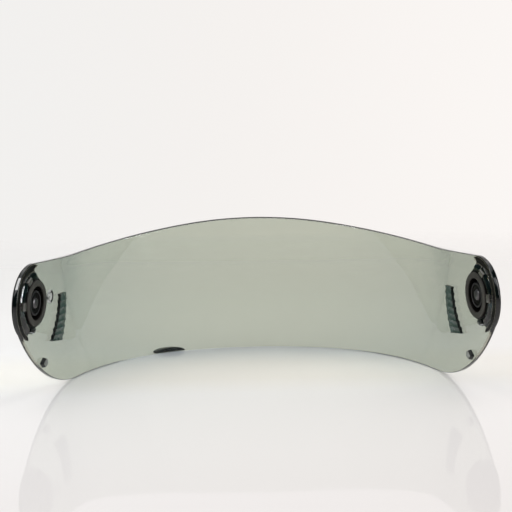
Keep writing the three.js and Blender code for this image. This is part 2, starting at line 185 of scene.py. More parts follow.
def closedMesh(name, points, faces, sharpAngle, marks=None, weld=2e-6):
    mesh = bpy.data.meshes.new(name)
    mesh.from_pydata([Vector(p) * mm for p in points], [], faces)
    # marks carry the painted rim shade and frost
    if marks is not None:
        mesh.attributes.new("rimPaintedShadeAndFrost", "FLOAT", "POINT").data.foreach_set("value", marks)
    bm = bmesh.new()
    bm.from_mesh(mesh)
    bmesh.ops.remove_doubles(bm, verts=bm.verts, dist=weld)
    bmesh.ops.dissolve_degenerate(bm, edges=bm.edges, dist=weld / 2)
    bmesh.ops.recalc_face_normals(bm, faces=bm.faces)
    bm.to_mesh(mesh)
    bm.free()
    for polygon in mesh.polygons:
        polygon.use_smooth = True
    mesh.set_sharp_from_angle(angle=math.radians(sharpAngle))
    piece = bpy.data.objects.new(name, mesh)
    bpy.context.scene.collection.objects.link(piece)
    return piece


def dress(piece, material, body, node):
    piece.data.materials.append(material)
    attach(piece, body)
    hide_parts(node)
    return piece


def endPiece(name, solid, side, material, node, body="visor", sharpAngle=35):
    points, faces = solid
    piece = closedMesh(name, endPoints(points, side), faces, sharpAngle)
    return dress(piece, material, body, node)


def rounded(corners, steps=4, most=0.49):
    # corners are (across, up, rounding); the rounding takes just under half of a side at most
    found = []
    for i, (x, y, size) in enumerate(corners):
        here = np.array([x, y], float)
        if size == 0:
            found.append(tuple(here))
            continue
        before = np.array(corners[i - 1][:2], float) - here
        after = np.array(corners[(i + 1) % len(corners)][:2], float) - here
        a = here + before * min(size / np.linalg.norm(before), most)
        b = here + after * min(size / np.linalg.norm(after), most)
        for k in range(steps + 1):
            t = k / steps
            found.append(tuple((1 - t) ** 2 * a + 2 * t * (1 - t) * here + t ** 2 * b))
    return found


def polar(radius, angle):
    return radius * math.cos(angle), radius * math.sin(angle)


def turned(profile, facets=128, middle=(0, 0)):
    # a closed body about the hub axis, or one beside it, from (radius, level) corners
    points, faces, rings = [], [], []
    for radius, level in profile:
        if radius < tiny:
            rings.append([len(points)] * facets)
            points.append((middle[0], middle[1], level))
            continue
        rings.append(list(range(len(points), len(points) + facets)))
        for k in range(facets):
            across, up = polar(radius, 2 * math.pi * k / facets)
            points.append((middle[0] + across, middle[1] + up, level))
    closed = profile[0][0] > tiny
    for j in range(len(rings) if closed else len(rings) - 1):
        low, high = rings[j], rings[(j + 1) % len(rings)]
        for k in range(facets):
            m = (k + 1) % facets
            corners = list(dict.fromkeys([low[k], low[m], high[m], high[k]]))
            if len(corners) > 2:
                faces.append(corners)
    return points, faces


def circlePoints(radius, level, count):
    return [(*polar(radius, math.radians(i / count * 360 - 180)), level) for i in range(count)]


def lofted(sections):
    # a closed body through like sections, each end filled
    points = [tuple(p) for section in sections for p in section]
    around = len(sections[0])
    faces = []
    for i in range(len(sections) - 1):
        for j in range(around):
            a, b = i * around + j, i * around + (j + 1) % around
            faces.append([a, b, b + around, a + around])
    faces.append(list(range(around)))
    last = (len(sections) - 1) * around
    faces.append([last + j for j in reversed(range(around))])
    return points, faces


# materials

def emptyTree(owner):
    owner.use_nodes = True
    owner.node_tree.nodes.clear()
    return owner.node_tree


def addNode(tree, kind, inputs, **settings):
    # an input is another node's output, or a plain number or colour
    node = tree.nodes.new("ShaderNode" + kind)
    for key, value in settings.items():
        setattr(node, key, value)
    for key, value in inputs.items():
        if isinstance(value, bpy.types.NodeSocket):
            tree.links.new(value, node.inputs[key])
        else:
            node.inputs[key].default_value = value
    return node.outputs


def mathOf(tree, operation, *values):
    return addNode(tree, "Math", dict(enumerate(values)), operation=operation)["Value"]


def vectorOf(tree, operation, output, *values):
    return addNode(tree, "VectorMath", dict(enumerate(values)), operation=operation)[output]


def colourMix(tree, first, second, factor, blend="MIX"):
    first, second = ((*value, 1) if isinstance(value, tuple) else value for value in (first, second))
    inputs = {"A": first, "B": second, "Factor": factor}
    return addNode(tree, "Mix", inputs, data_type="RGBA", blend_type=blend)["Result"]


def shaderMix(tree, factor, first, second):
    return addNode(tree, "MixShader", {0: factor, 1: first, 2: second})["Shader"]


def placeOf(tree, kind="Object"):
    # a texture coordinate, whole and by its X, Y and Z
    place = addNode(tree, "TexCoord", {})[kind]
    return place, addNode(tree, "SeparateXYZ", {"Vector": place})


def noiseOf(tree, scale, detail=4, stretch=(1, 1, 1)):
    place = addNode(tree, "TexCoord", {})["Object"]
    place = addNode(tree, "Mapping", {"Vector": place, "Scale": stretch})["Vector"]
    return addNode(tree, "TexNoise", {"Vector": place, "Scale": scale, "Detail": detail})["Fac"]


def rangeOf(tree, factor, low, high, fromLow=0.3, fromHigh=0.7):
    inputs = {"Value": factor, "From Min": fromLow, "From Max": fromHigh, "To Min": low, "To Max": high}
    return addNode(tree, "MapRange", inputs)["Result"]


def bumpOf(tree, height, strength, depth):
    return addNode(tree, "Bump", {"Height": height, "Strength": strength, "Distance": depth * mm})["Normal"]


# what the moulded pieces have in common, where their own looks say nothing else
plasticLook = {
    "ior": 1.5, "metal": 0, "sheen": 0.5, "coat": 0, "coatRoughness": 0.05, "smudgeShare": 2.3,
    "mottleScale": 90, "roughness": (0.3, 0.45), "grainScale": 1500, "grain": 0.3, "grainDepth": 0.04,
    # how far a face looks along X on the walls of a block and on its top
    "sideways": (0.88, 0.72),
}


def paintedWallShade(tree):
    # 1 on the walls of a block on the inner face, where they take a painted shade, 0 on its top
    _, apart = placeOf(tree, "Normal")
    return rangeOf(tree, mathOf(tree, "ABSOLUTE", apart["X"]), 0, 1, *plasticLook["sideways"])


def mouldedPlastic(name, look):
    look = {**plasticLook, **look}
    material = bpy.data.materials.new(name)
    tree = emptyTree(material)
    mottle = rangeOf(tree, noiseOf(tree, look["mottleScale"]), 0, 1)
    tint = colourMix(tree, look["dark"], look["light"], mottle)
    # painted shade: the walls of a block get a darker colour than its top
    if "wall" in look:
        tint = colourMix(tree, tint, look["wall"], paintedWallShade(tree))
    smudge = noiseOf(tree, look["mottleScale"] * look["smudgeShare"], 3)
    grain = noiseOf(tree, look["grainScale"], 2)
    shader = addNode(tree, "BsdfPrincipled", {
        "Base Color": tint, "Roughness": rangeOf(tree, smudge, *look["roughness"]), "IOR": look["ior"],
        "Metallic": look["metal"], "Specular IOR Level": look["sheen"],
        "Coat Weight": look["coat"], "Coat Roughness": look["coatRoughness"],
        "Normal": bumpOf(tree, grain, look["grain"], look["grainDepth"]),
    })
    addNode(tree, "OutputMaterial", {"Surface": shader["BSDF"]})
    return material


def noseBand(tree, look):
    # 1 on the wall of either nose between the collar and the rim, with ragged ends
    _, apart = placeOf(tree)
    folded = {"X": mathOf(tree, "ABSOLUTE", apart["X"]), "Y": apart["Y"], "Z": apart["Z"]}
    folded = addNode(tree, "CombineXYZ", folded)["Vector"]
    fromHub = vectorOf(tree, "SUBTRACT", "Vector", folded, hubPoint * mm)
    along, upward = (vectorOf(tree, "DOT_PRODUCT", "Value", fromHub, axis) for axis in (hubAlong, hubUp))
    flat = addNode(tree, "CombineXYZ", {"X": along, "Y": upward})["Vector"]
    length = vectorOf(tree, "LENGTH", "Value", flat)
    tear = rangeOf(tree, noiseOf(tree, look["tearScale"], 2), -look["tear"], look["tear"])
    torn = mathOf(tree, "ADD", mathOf(tree, "ARCTAN2", upward, along), tear)
    # the band starts farther from the hub toward its foot
    foot, top, rim = look["foot"], look["top"], look["rim"] * mm
    soft, turnSoft = look["soft"] * mm, look["turnSoft"]
    start = rangeOf(tree, torn, look["footRadius"] * mm, look["topRadius"] * mm, foot, foot + look["widen"])
    beyond = mathOf(tree, "SUBTRACT", length, start)
    leaning = mathOf(tree, "MULTIPLY_ADD", beyond, -look["lean"] / mm, torn)
    found = rangeOf(tree, beyond, 0, 1, 0, soft)
    for value, low, *span in (
        (length, 1, rim, rim + soft), (torn, 0, foot, foot + turnSoft), (leaning, 1, top, top + turnSoft),
    ):
        found = mathOf(tree, "MULTIPLY", found, rangeOf(tree, value, low, 1 - low, *span))
    return found


def tintedClear(name, look):
    # clear plastic that darkens with the way through it, and lets lamps through
    material = bpy.data.materials.new(name)
    tree = emptyTree(material)
    shade = addNode(tree, "Attribute", {}, attribute_name="rimPaintedShadeAndFrost")["Fac"]
    band = noseBand(tree, look["band"])
    # painted shade on the rim darkens the tint toward black; the frost turns it pale and matte
    tint = colourMix(tree, (0, 0, 0), look["face"], rangeOf(tree, shade, 0, 1, -1, 0))
    tint = colourMix(tree, tint, look["rim"], rangeOf(tree, shade, 0, 1, 0, 1))
    clear = [rangeOf(tree, mask, 1, 0, 0, 1) for mask in (shade, band)]
    smudge = noiseOf(tree, look["smudgeScale"], 4, look["smudgeStretch"])
    ripple = noiseOf(tree, look["rippleScale"], 1)
    shader = addNode(tree, "BsdfPrincipled", {
        "Base Color": colourMix(tree, tint, look["band"]["colour"], band), "IOR": look["ior"],
        "Transmission Weight": mathOf(tree, "MULTIPLY", *clear),
        "Specular IOR Level": rangeOf(tree, band, look["sheen"], look["band"]["sheen"], 0, 1),
        "Roughness": rangeOf(tree, smudge, *look["roughness"]),
        "Normal": bumpOf(tree, ripple, look["ripple"], look["rippleDepth"]),
    })
    passing = addNode(tree, "BsdfTransparent", {})["BSDF"]
    shadow = addNode(tree, "LightPath", {})["Is Shadow Ray"]
    surface = shaderMix(tree, shadow, shader["BSDF"], passing)
    smoke = addNode(tree, "VolumeAbsorption", {"Color": (*look["smoke"], 1), "Density": look["density"]})
    addNode(tree, "OutputMaterial", {"Surface": surface, "Volume": smoke["Volume"]})
    return material


smokeClear = tintedClear("smokeClear", {
    "face": (1, 0.947, 0.716), "rim": (0.36, 0.38, 0.34), "ior": 1.52, "sheen": 0.5,
    "smudgeScale": 22, "smudgeStretch": (1, 1, 0.4), "roughness": (0.0, 0.025),
    "rippleScale": 18, "ripple": 0.05, "rippleDepth": 0.4, "smoke": (0.2, 0.35, 0.5), "density": 322,
    "band": {
        "colour": (0.012, 0.011, 0.010), "sheen": 0.04, "rim": 20, "topRadius": 16.5, "footRadius": 18.2,
        "foot": math.radians(-74), "top": math.radians(90), "lean": 0.06, "widen": 0.8,
        "soft": 0.2, "turnSoft": 0.03, "tear": 0.09, "tearScale": 420,
    },
})
# the button's own pale grey, speckled toward white for painted glints
buttonPaleAndPaintedGlints = mouldedPlastic("buttonPaleAndPaintedGlints", {
    "dark": (0.10, 0.11, 0.10), "light": (0.88, 0.89, 0.87), "mottleScale": 560, "sheen": 0.7,
    "roughness": (0.05, 0.2), "grainScale": 900, "grain": 0.9, "grainDepth": 0.35,
})
rackTint = mouldedPlastic("rackTint", {
    "dark": (0.036, 0.058, 0.049), "light": (0.058, 0.088, 0.075), "mottleScale": 45,
    # near-black painted shade on the rack's walls
    "wall": (0.001, 0.002, 0.001), "sheen": 0.35,
    "roughness": (0.12, 0.3), "grainScale": 900, "grain": 0.15, "grainDepth": 0.05,
})
lugTint = mouldedPlastic("lugTint", {
    "dark": (0.14, 0.15, 0.138), "light": (0.30, 0.31, 0.29), "mottleScale": 260,
    # near-black painted shade on the lug's walls
    "wall": (0.001, 0.002, 0.001), "sheen": 0.3,
    "roughness": (0.12, 0.3), "grainScale": 900, "grainDepth": 0.08,
})
satinBlack = mouldedPlastic("satinBlack", {
    "dark": (0.003, 0.0025, 0.0025), "light": (0.008, 0.007, 0.006), "mottleScale": 40, "sheen": 0.07,
    "roughness": (0.2, 0.34), "grainScale": 1400, "grain": 0.25,
})
coverBlack = mouldedPlastic("coverBlack", {
    "dark": (0.003, 0.003, 0.003), "light": (0.008, 0.008, 0.008), "mottleScale": 40, "sheen": 0.06,
    "grainScale": 1800, "grain": 0.4, "grainDepth": 0.05,
})
ringGrey = mouldedPlastic("ringGrey", {
    "dark": (0.038, 0.036, 0.031), "light": (0.060, 0.057, 0.050), "sheen": 0.2,
    "roughness": (0.45, 0.6), "grainScale": 1600, "grain": 0.4, "grainDepth": 0.05,
})
# lit and shaded copies of the sleeve plastic: painted shade in the recess, painted light on the rim's top
sleevePaintedShade = mouldedPlastic("sleevePaintedShade", {
    "dark": (0.003, 0.0025, 0.0025), "light": (0.007, 0.006, 0.006), "sheen": 0.06,
})
sleeveRimPaintedLight = mouldedPlastic("sleeveRimPaintedLight", {
    "dark": (0.018, 0.017, 0.018), "light": (0.030, 0.028, 0.030), "sheen": 0.2,
})
pinSteel = mouldedPlastic("pinSteel", {
    "dark": (0.07, 0.067, 0.07), "light": (0.14, 0.134, 0.138), "mottleScale": 120,
    "roughness": (0.3, 0.42), "grainScale": 2200, "grain": 0.2, "grainDepth": 0.02, "metal": 0.8,
})
# lit and shaded copies of one clip plastic: painted light on the upper clips, painted shade on the clip at
# the collar's foot
clipPaintedLight = mouldedPlastic("clipPaintedLight", {
    "dark": (0.055, 0.052, 0.045), "light": (0.12, 0.112, 0.10), "mottleScale": 300,
    "roughness": (0.08, 0.2), "grain": 0.1, "grainDepth": 0.03, "coat": 0.5,
})
clipPaintedShade = mouldedPlastic("clipPaintedShade", {
    "dark": (0.004, 0.005, 0.005), "light": (0.010, 0.012, 0.011), "mottleScale": 150, "sheen": 0.15,
    "roughness": (0.2, 0.35), "grain": 0.1, "grainDepth": 0.03,
})
tabBlack = mouldedPlastic("tabBlack", {
    "dark": (0.0012, 0.0013, 0.001), "light": (0.004, 0.0043, 0.0035), "mottleScale": 60, "sheen": 0.07,
    "roughness": (0.15, 0.3), "grainScale": 1200, "grain": 0.15,
})
print("materials made")


# shield shell

shellLook = {
    "edgeRound": 0.45, "edgeSteps": 4, "outlineStep": 1.5, "noseSteps": 84, "sharp": 50,
    "columnStep": 2.2, "rowStep": 6, "rows": 14, "clearance": 1.1, "rowShare": 0.45,
    "holeSlack": 2, "joined": 1e-7,
    # border of the optical zone on the inner face, as height and run pairs
    "borderHeights": (72, 55.5, 41, 31, 18.6, 3.5),
    "borderRuns": (189.1, 181.6, 172.6, 165.1, 154.6, 141.8),
    "borderSpan": (3.2, 70.6), "borderPace": 1.2, "borderStep": 0.11, "borderHalf": 0.12,
    "holeRadius": 11.7, "holeRound": 0.25, "holeShares": (0, 0.3, 0.6, 1),
    "ledgeRound": 0.15, "collarInner": 13.5, "collarOuter": 16.2, "collarTop": 3.5,
    "collarRound": 1.2, "collarFall": 1, "collarLip": 0.15,
    "rootRound": 0.35, "rootShares": (0, 0.33, 0.67, 1),
    # notches for the clips, and how far the collar sweeps to each side, in degrees
    "notchTurns": (57, -1, -75), "notchWidth": 4.8, "notchDepth": 2.2, "notchSteps": 7, "turnStep": 2.5,
    "sweep": 95, "sweepSteps": (-0.6, 0, 0.6), "sweepSoft": 0.006,
}
# painted shade on the shield's rim: dark at the belly's outer face, where it faces down and along the foot;
# frosted toward the inner face
rimLook = {
    "top": 44, "noseFoot": 32, "blend": 5, "dark": 0.6, "pale": 0.75,
    "underFrom": 0.8, "underBlend": 0.12, "underPaintedShade": 0.95,
    # painted shadow on the bottom edge along its run, where it rests on the table
    "footRuns": (-160, -108, -98, -40, 10, 60, 90, 160), "footPaintedShadow": (-1, -1, 0, 0, -0.3, -0.8, -1, -1),
}
borderCurve = np.polyfit(shellLook["borderHeights"], shellLook["borderRuns"], 3)


def outlineHalf():
    # from the middle of the top edge round the right nose to the middle of the bottom edge
    size = shieldSize
    meet = -math.asin((size["bellyRadius"] - size["hubHeight"]) / (size["bellyRadius"] - size["noseRadius"]))
    count = int(hubRun / shellLook["outlineStep"])
    runs = np.linspace(0, hubRun, count, endpoint=False)
    rows = list(zip(runs, topEdge(runs)))
    for angle in np.linspace(math.pi / 2, meet, shellLook["noseSteps"]):
        across, up = polar(size["noseRadius"], angle)
        rows.append((hubRun + across, size["hubHeight"] + up))
    bellyRuns = np.linspace(rows[-1][0], 0, int(rows[-1][0] / shellLook["outlineStep"]) + 1)[1:]
    rows += list(zip(bellyRuns, bottomEdge(bellyRuns)))
    return np.array(rows)


def shieldOutline():
    half = outlineHalf()
    mirrored = half[::-1][1:-1] * np.array([-1, 1])
    runs, heights = np.concatenate([half, mirrored]).T
    _, _, ruling, normal, stretch = shieldFrame(runs, heights)
    length = np.linalg.norm(ruling, axis=-1)
    stepRun = (np.roll(runs, -1) - np.roll(runs, 1)) * stretch
    stepUp = (np.roll(heights, -1) - np.roll(heights, 1)) * length
    size = np.hypot(stepRun, stepUp)
    # the loop runs clockwise, so this points out
    out = np.stack([-stepUp / size, stepRun / size], -1)
    return runs, heights, out, stretch, length, normal[:, 2]


outline = shieldOutline()


def innerDepth(runs, heights):
    # the wall is a little thicker inside the optical zone
    past = np.abs(runs) - np.polyval(borderCurve, heights)
    return wall + shellLook["borderStep"] * (1 - eased(past / shellLook["borderHalf"] / 2 + 0.5))


def rimLoop(inset, depth):
    runs, heights, out, stretch, length, tip = outline
    level = -depth * tip * np.maximum(0, -out[:, 1]) ** 2
    return runs - inset * out[:, 0] / stretch, heights - inset * out[:, 1] / length + level, depth


def rimLoops():
    size, steps = shellLook["edgeRound"], shellLook["edgeSteps"]
    angles = [math.pi / 2 * k / steps for k in range(steps + 1)]
    corner = [(size * (1 - math.sin(a)), size * (1 - math.cos(a))) for a in angles]
    inner = innerDepth(*outline[:2])
    loops = [rimLoop(inset, np.full_like(inner, drop)) for inset, drop in corner]
    return loops + [rimLoop(inset, inner - drop) for inset, drop in reversed(corner)]


def rimShadeAndFrostMarks():
    # painted shade on each rim point, and the edge's frost: -1 is black, 0 is clear and 1 is frosted
    runs, heights, out = outline[:3]
    look = rimLook
    blend = look["blend"]
    past = np.clip((np.abs(runs) - bellyStart()) / blend, 0, 1)
    belly = past * np.clip((look["top"] - heights) / blend, 0, 1)
    under = np.clip((-out[:, 1] - look["underFrom"]) / look["underBlend"], 0, 1)
    nose = np.clip((np.abs(runs) - hubRun + blend) / blend, 0, 1)
    nose *= np.clip((heights - look["noseFoot"]) / blend, 0, 1)
    foot = np.interp(runs, look["footRuns"], look["footPaintedShadow"]) * (heights < wall) * under * (1 - past)
    # painted shade: the belly's rim is dark at the outer face and where it faces down, and frosted toward the
    # inner one; the nose's rim is black and the foot carries a painted shadow along the bottom edge
    outer = -look["dark"] * belly * (1 - nose) - nose + foot
    inner = belly * (look["pale"] * (1 - under) - look["underPaintedShade"] * under) * (1 - nose) - nose + foot
    clear = np.zeros_like(belly)
    steps = shellLook["edgeSteps"]
    return np.concatenate([clear] + [outer] * steps + [inner] * steps + [clear])


def insidePolygon(points, polygon):
    inside = np.zeros(len(points), bool)
    x, y = points[:, 0], points[:, 1]
    for (ax, ay), (bx, by) in zip(polygon, np.roll(polygon, -1, axis=0)):
        crosses = ((ay > y) != (by > y))
        if crosses.any():
            at = ax + (y - ay) * (bx - ax) / (by - ay)
            inside ^= crosses & (x < at)
    return inside


def nearest(points, others):
    # in parts, so that the table of distances stays small
    found = []
    for part in np.array_split(points, len(points) // 500 + 1):
        found.append(np.sqrt(((part[:, None] - others[None]) ** 2).sum(-1)).min(1))
    return np.concatenate(found)


def notchedLoop():
    # angles round the hub, and the collar's inner radius at each, with square notches for the clips
    look = shellLook
    half, inner = look["notchWidth"] / 2, look["collarInner"]
    deep = inner + look["notchDepth"]
    edge = math.asin(half / inner)
    angles, radii = [], []
    turns = sorted(math.radians(t) % (2 * math.pi) for t in look["notchTurns"])
    for number, turn in enumerate(turns):
        for t in np.linspace(-1, 1, look["notchSteps"]):
            if abs(t) == 1:
                for radius in (inner, math.hypot(deep, half))[::-int(t)]:
                    angles.append(turn + math.asin(half * t / radius))
                    radii.append(radius)
            else:
                angles.append(turn + math.atan2(half * t, deep))
                radii.append(math.hypot(deep, half * t))
        following = turns[(number + 1) % len(turns)] + (2 * math.pi if number + 1 == len(turns) else 0)
        count = max(3, int((following - turn - 2 * edge) / math.radians(look["turnStep"])))
        between = list(np.linspace(turn + edge, following - edge, count)[1:-1])
        for cut in (look["sweep"], 360 - look["sweep"]):
            for step in look["sweepSteps"]:
                if turn + edge < math.radians(cut + step) < following - edge:
                    between.append(math.radians(cut + step))
        angles += sorted(between)
        radii += [inner] * len(between)
    return np.array(angles), np.array(radii)


hubAngles, notchRadii = notchedLoop()
sweepShares = np.abs((hubAngles + math.pi) % (2 * math.pi) - math.pi) / math.radians(shellLook["sweep"])
collarLift = np.clip((1 - sweepShares) / shellLook["sweepSoft"], 0, 1)


def fillFace(border, circleRadius, chains, depthOf):
    # triangles over one face, between the rim and the two hub circles
    look = shellLook
    scale = np.array([1, look["rowShare"]])
    hubs = [np.array([side * hubRun, shieldSize["hubHeight"]]) for side in (-1, 1)]
    around = np.stack([circleRadius * np.cos(hubAngles), circleRadius * np.sin(hubAngles) / rulingLength], -1)
    closed = [border] + [hub + around * np.array([side, 1]) for hub, side in zip(hubs, (-1, 1))]
    loops = closed + chains
    reach = hubRun + shieldSize["noseRadius"]
    columns = np.arange(-math.floor(reach / look["columnStep"]), reach / look["columnStep"])
    rows = np.arange(1, look["rows"] + 1)
    grid = np.array([(c * look["columnStep"], (r + 0.5 * (c % 2)) * look["rowStep"])
                     for c in columns for r in rows])
    grid = grid[insidePolygon(grid, border)]
    grid = grid[nearest(grid * scale, np.concatenate(loops) * scale) > look["clearance"]]
    for hub in hubs:
        grid = grid[np.hypot(*(grid - hub).T) > circleRadius + look["clearance"]]
    points = np.concatenate(loops + [grid])
    edges, start = [], 0
    for number, loop in enumerate(loops):
        edges += [(start + i, start + i + 1) for i in range(len(loop) - 1)]
        start += len(loop)
        if number < len(closed):
            edges.append((start - 1, start - len(loop)))
    filled = geometry.delaunay_2d_cdt([Vector(p) for p in points * scale], edges, [], 0, look["joined"])
    flat = np.array([tuple(v) for v in filled[0]]) / scale
    faces = np.array([f for f in filled[2] if len(f) == 3])
    middles = flat[faces].mean(1)
    keep = insidePolygon(middles, border)
    for hub in hubs:
        offset = (middles - hub) * np.array([1, rulingLength])
        keep &= np.hypot(*offset.T) > circleRadius * math.cos(math.radians(look["holeSlack"]))
    return shieldPoint(*flat.T, depthOf(*flat.T)), faces[keep]


def bridge(points, loops):
    # strips of faces between loops with the same count of points
    faces = []
    start = len(points)
    count = len(loops[0])
    for loop in loops:
        points.extend(map(tuple, loop))
    for i in range(len(loops) - 1):
        for j in range(count):
            a, b = start + i * count + j, start + i * count + (j + 1) % count
            faces.append([a, b, b + count, a + count])
    return faces


def shellHubLoops(side):
    # from the outer face through the hole, over the ledge and collar, to the inner face
    look = shellLook
    size, lip, root = look["collarRound"], look["collarLip"], look["rootRound"]
    top, outer = look["collarTop"], look["collarOuter"]
    hole, mouth, ledge = look["holeRadius"], look["holeRound"], look["ledgeRound"]
    rows = []
    for t in look["holeShares"]:
        a = t * math.pi / 2
        rows.append((hole + mouth * (1 - math.sin(a)), mouth * (1 - math.cos(a))))
    rows += [(hole, wall - ledge), (hole + ledge, wall)]
    rows += [(notchRadii, wall), (notchRadii, top - lip), (notchRadii + lip, top)]
    rows += [(outer - size, top), (outer, top - look["collarFall"])]
    for t in look["rootShares"]:
        a = t * math.pi / 2
        rows.append((outer + root * (1 - math.cos(a)), wall + root * (1 - math.sin(a))))
    loops = []
    for radius, level in rows:
        radius = np.broadcast_to(radius, hubAngles.shape)
        levels = np.where(level > wall, wall + (level - wall) * collarLift, level)
        local = np.stack([radius * np.cos(hubAngles), radius * np.sin(hubAngles), levels], -1)
        loops.append(endPoints(local, side))
    return loops


def borderChains():
    heights = np.arange(*shellLook["borderSpan"], shellLook["borderPace"])
    middle = np.polyval(borderCurve, heights)
    chains = []
    for side in (-1, 1):
        for shift in (-1, 1):
            runs = side * (middle + shift * shellLook["borderHalf"])
            chains.append(np.stack([runs, heights], -1))
    return chains


def shellPiece():
    loops = rimLoops()
    rim = [shieldPoint(runs, heights, depth) for runs, heights, depth in loops]
    points = []
    faces = bridge(points, rim)
    for side in (-1, 1):
        faces += bridge(points, shellHubLoops(side))
    outerBorder = np.stack(loops[0][:2], -1)
    innerBorder = np.stack(loops[-1][:2], -1)
    outerRadius = shellLook["holeRadius"] + shellLook["holeRound"]
    innerRadius = shellLook["collarOuter"] + shellLook["rootRound"]
    for border, radius, chains, depthOf in (
        (outerBorder, outerRadius, [], lambda r, h: np.zeros_like(r)),
        (innerBorder, innerRadius, borderChains(), innerDepth),
    ):
        filled, triangles = fillFace(border, radius, chains, depthOf)
        start = len(points)
        points.extend(map(tuple, filled))
        faces += [[start + int(i) for i in triangle] for triangle in triangles]
    # the rim points carry the painted shade and the frost
    marks = np.zeros(len(points))
    marks[:len(rim) * len(rim[0])] = rimShadeAndFrostMarks()
    piece = closedMesh("shieldShell", points, faces, shellLook["sharp"], marks=marks)
    smooth = piece.modifiers.new("evenShine", "WEIGHTED_NORMAL")
    smooth.keep_sharp = True
    return dress(piece, smokeClear, "visor", "shield")


shell = shellPiece()
print("shield shell made,", len(shell.data.polygons), "faces")


# hubs: body, face ring, sleeve and pin on each side

hubSize = {
    "foot": -1.4, "floor": -0.6, "bore": 9, "spigot": 11.3,
    "flange": 13.2, "flangeLow": 2.5, "flangeTop": 3.2,
    "barrel": 12.1, "barrelTop": 3.5, "ringLow": 3.8, "ringTop": 4.5,
    "sleeve": 6.6, "sleeveInner": 5.2, "sleeveFoot": -0.3, "sleeveTop": 3.6, "rimLevel": 3.4,
    "stepRadius": 5.6, "stepLevel": 3.1, "lipRadius": 3.3, "lipLow": 2.5,
    "pin": 2.9, "pinFlange": 4.8, "pinFoot": 1.5, "pinFlangeTop": 2.2, "pinNeck": 3.15, "pinTip": 4.2,
    "pinSteps": 10,
}


def hubCorners(*corners):
    # (radius, level, rounding) from the names of the sizes
    return rounded([(hubSize[radius] if radius else 0, hubSize[level], size)
                    for radius, level, size in corners])


bodyProfile = hubCorners(
    (None, "foot", 0), ("spigot", "foot", 0.3), ("spigot", "flangeLow", 0), ("flange", "flangeLow", 0.15),
    ("flange", "flangeTop", 0.25), ("barrel", "flangeTop", 0.1), ("barrel", "barrelTop", 0.1),
    ("bore", "barrelTop", 0.12), ("bore", "floor", 0.4), (None, "floor", 0))
ringProfile = hubCorners(
    ("bore", "ringLow", 0.08), ("barrel", "ringLow", 0.08),
    ("barrel", "ringTop", 0.22), ("bore", "ringTop", 0.22))
sleeveProfile = hubCorners(
    ("sleeveInner", "sleeveFoot", 0), ("sleeve", "sleeveFoot", 0.1), ("sleeve", "sleeveTop", 0.25),
    ("stepRadius", "sleeveTop", 0.2), ("stepRadius", "stepLevel", 0.05), ("lipRadius", "stepLevel", 0.15),
    ("lipRadius", "lipLow", 0.1), ("sleeveInner", "lipLow", 0))
pinProfile = hubCorners(
    (None, "pinFoot", 0), ("pinFlange", "pinFoot", 0.12), ("pinFlange", "pinFlangeTop", 0.12),
    ("pin", "pinFlangeTop", 0), ("pin", "pinNeck", 0.1))
coverSize = {
    "radius": 15.2, "reach": 19.6, "top": 99, "foot": -76, "blend": 17,
    "bore": 12, "cavity": -1.7, "seat": -0.3, "rim": 0.6, "rise": 3.2,
    "power": 3, "steps": 18, "around": 180, "edge": 0.15, "edgeShare": 0.3,
}


def domeOf(radius, low, tip, steps):
    return [(radius * math.cos(a), low + (tip - low) * math.sin(a))
            for a in (math.pi / 2 * k / steps for k in range(1, steps))] + [(0, tip)]


def repaint(piece, material, side, chosen):
    # a second material on the faces that are chosen by their place in the end's own axes
    piece.data.materials.append(material)
    origin = endPoints([(0, 0, 0)], side)[0]
    for polygon in piece.data.polygons:
        offset = (np.array(polygon.center) / mm - origin) * (side, 1, 1)
        if chosen(*(offset.dot(axis) for axis in (hubAlong, hubUp, hubInward))):
            polygon.material_index = 1


def coverRadius(degrees):
    size = coverSize
    before, after = size["top"] - degrees, degrees - size["foot"]
    share = eased(before / size["blend"] + 0.5) * eased(after / size["blend"] + 0.5)
    return size["radius"] + (size["reach"] - size["radius"]) * share


def coverRing(share, inset=0, level=lambda dome: dome):
    # one loop round the cover at a share of its outline, on the dome unless level says otherwise
    size = coverSize
    ring = []
    for i in range(size["around"]):
        degrees = i / size["around"] * 360 - 180
        radius = share * coverRadius(degrees) - inset
        fall = 1 - (radius / size["reach"]) ** size["power"]
        dome = size["seat"] - size["rim"] - (size["rise"] - size["rim"]) * fall
        ring.append((*polar(radius, math.radians(degrees)), level(dome)))
    return ring


def coverSolid():
    # a dome round behind the hub and wider along the nose, hollow where the hub turns
    size = coverSize
    seat, edge = size["seat"], size["edge"]
    soft = edge * size["edgeShare"]
    sections = [circlePoints(size["bore"], level, size["around"]) for level in (size["cavity"], seat)]
    sections += [coverRing(1, edge, lambda dome: seat), coverRing(1, 0, lambda dome: seat - edge),
                 coverRing(1, 0, lambda dome: dome + edge), coverRing(1, soft, lambda dome: dome + soft)]
    sections += [coverRing(1 - i / size["steps"], edge if i == 0 else 0) for i in range(size["steps"])]
    return lofted(sections)


pinDome = domeOf(*(hubSize[key] for key in ("pin", "pinNeck", "pinTip", "pinSteps")))
hubParts = {
    "hubBody": (turned(bodyProfile), satinBlack, "hub_body_", "black", "hub_"),
    "hubRing": (turned(ringProfile), ringGrey, "hub_ring_", "grey", "hub_"),
    "hubSleeve": (turned(sleeveProfile), sleevePaintedShade, "hub_sleeve_", "grey", "hub_"),
    "lockPin": (turned(pinProfile + pinDome, 96), pinSteel, "lock_pin_", "grey", "pin_"),
}
cover = coverSolid()
for side, hand in ends:
    label = hand.capitalize()
    for name, (solid, material, node, slot, body) in hubParts.items():
        piece = endPiece(name + label, solid, side, material, node + hand, body + hand)
        if name == "hubSleeve":
            # painted light on the sleeve's rim top, painted shade below it
            repaint(piece, sleeveRimPaintedLight, side, lambda x, y, z: z > hubSize["rimLevel"])
    endPiece("sideCover" + label, cover, side, coverBlack, "side_cover_" + hand)
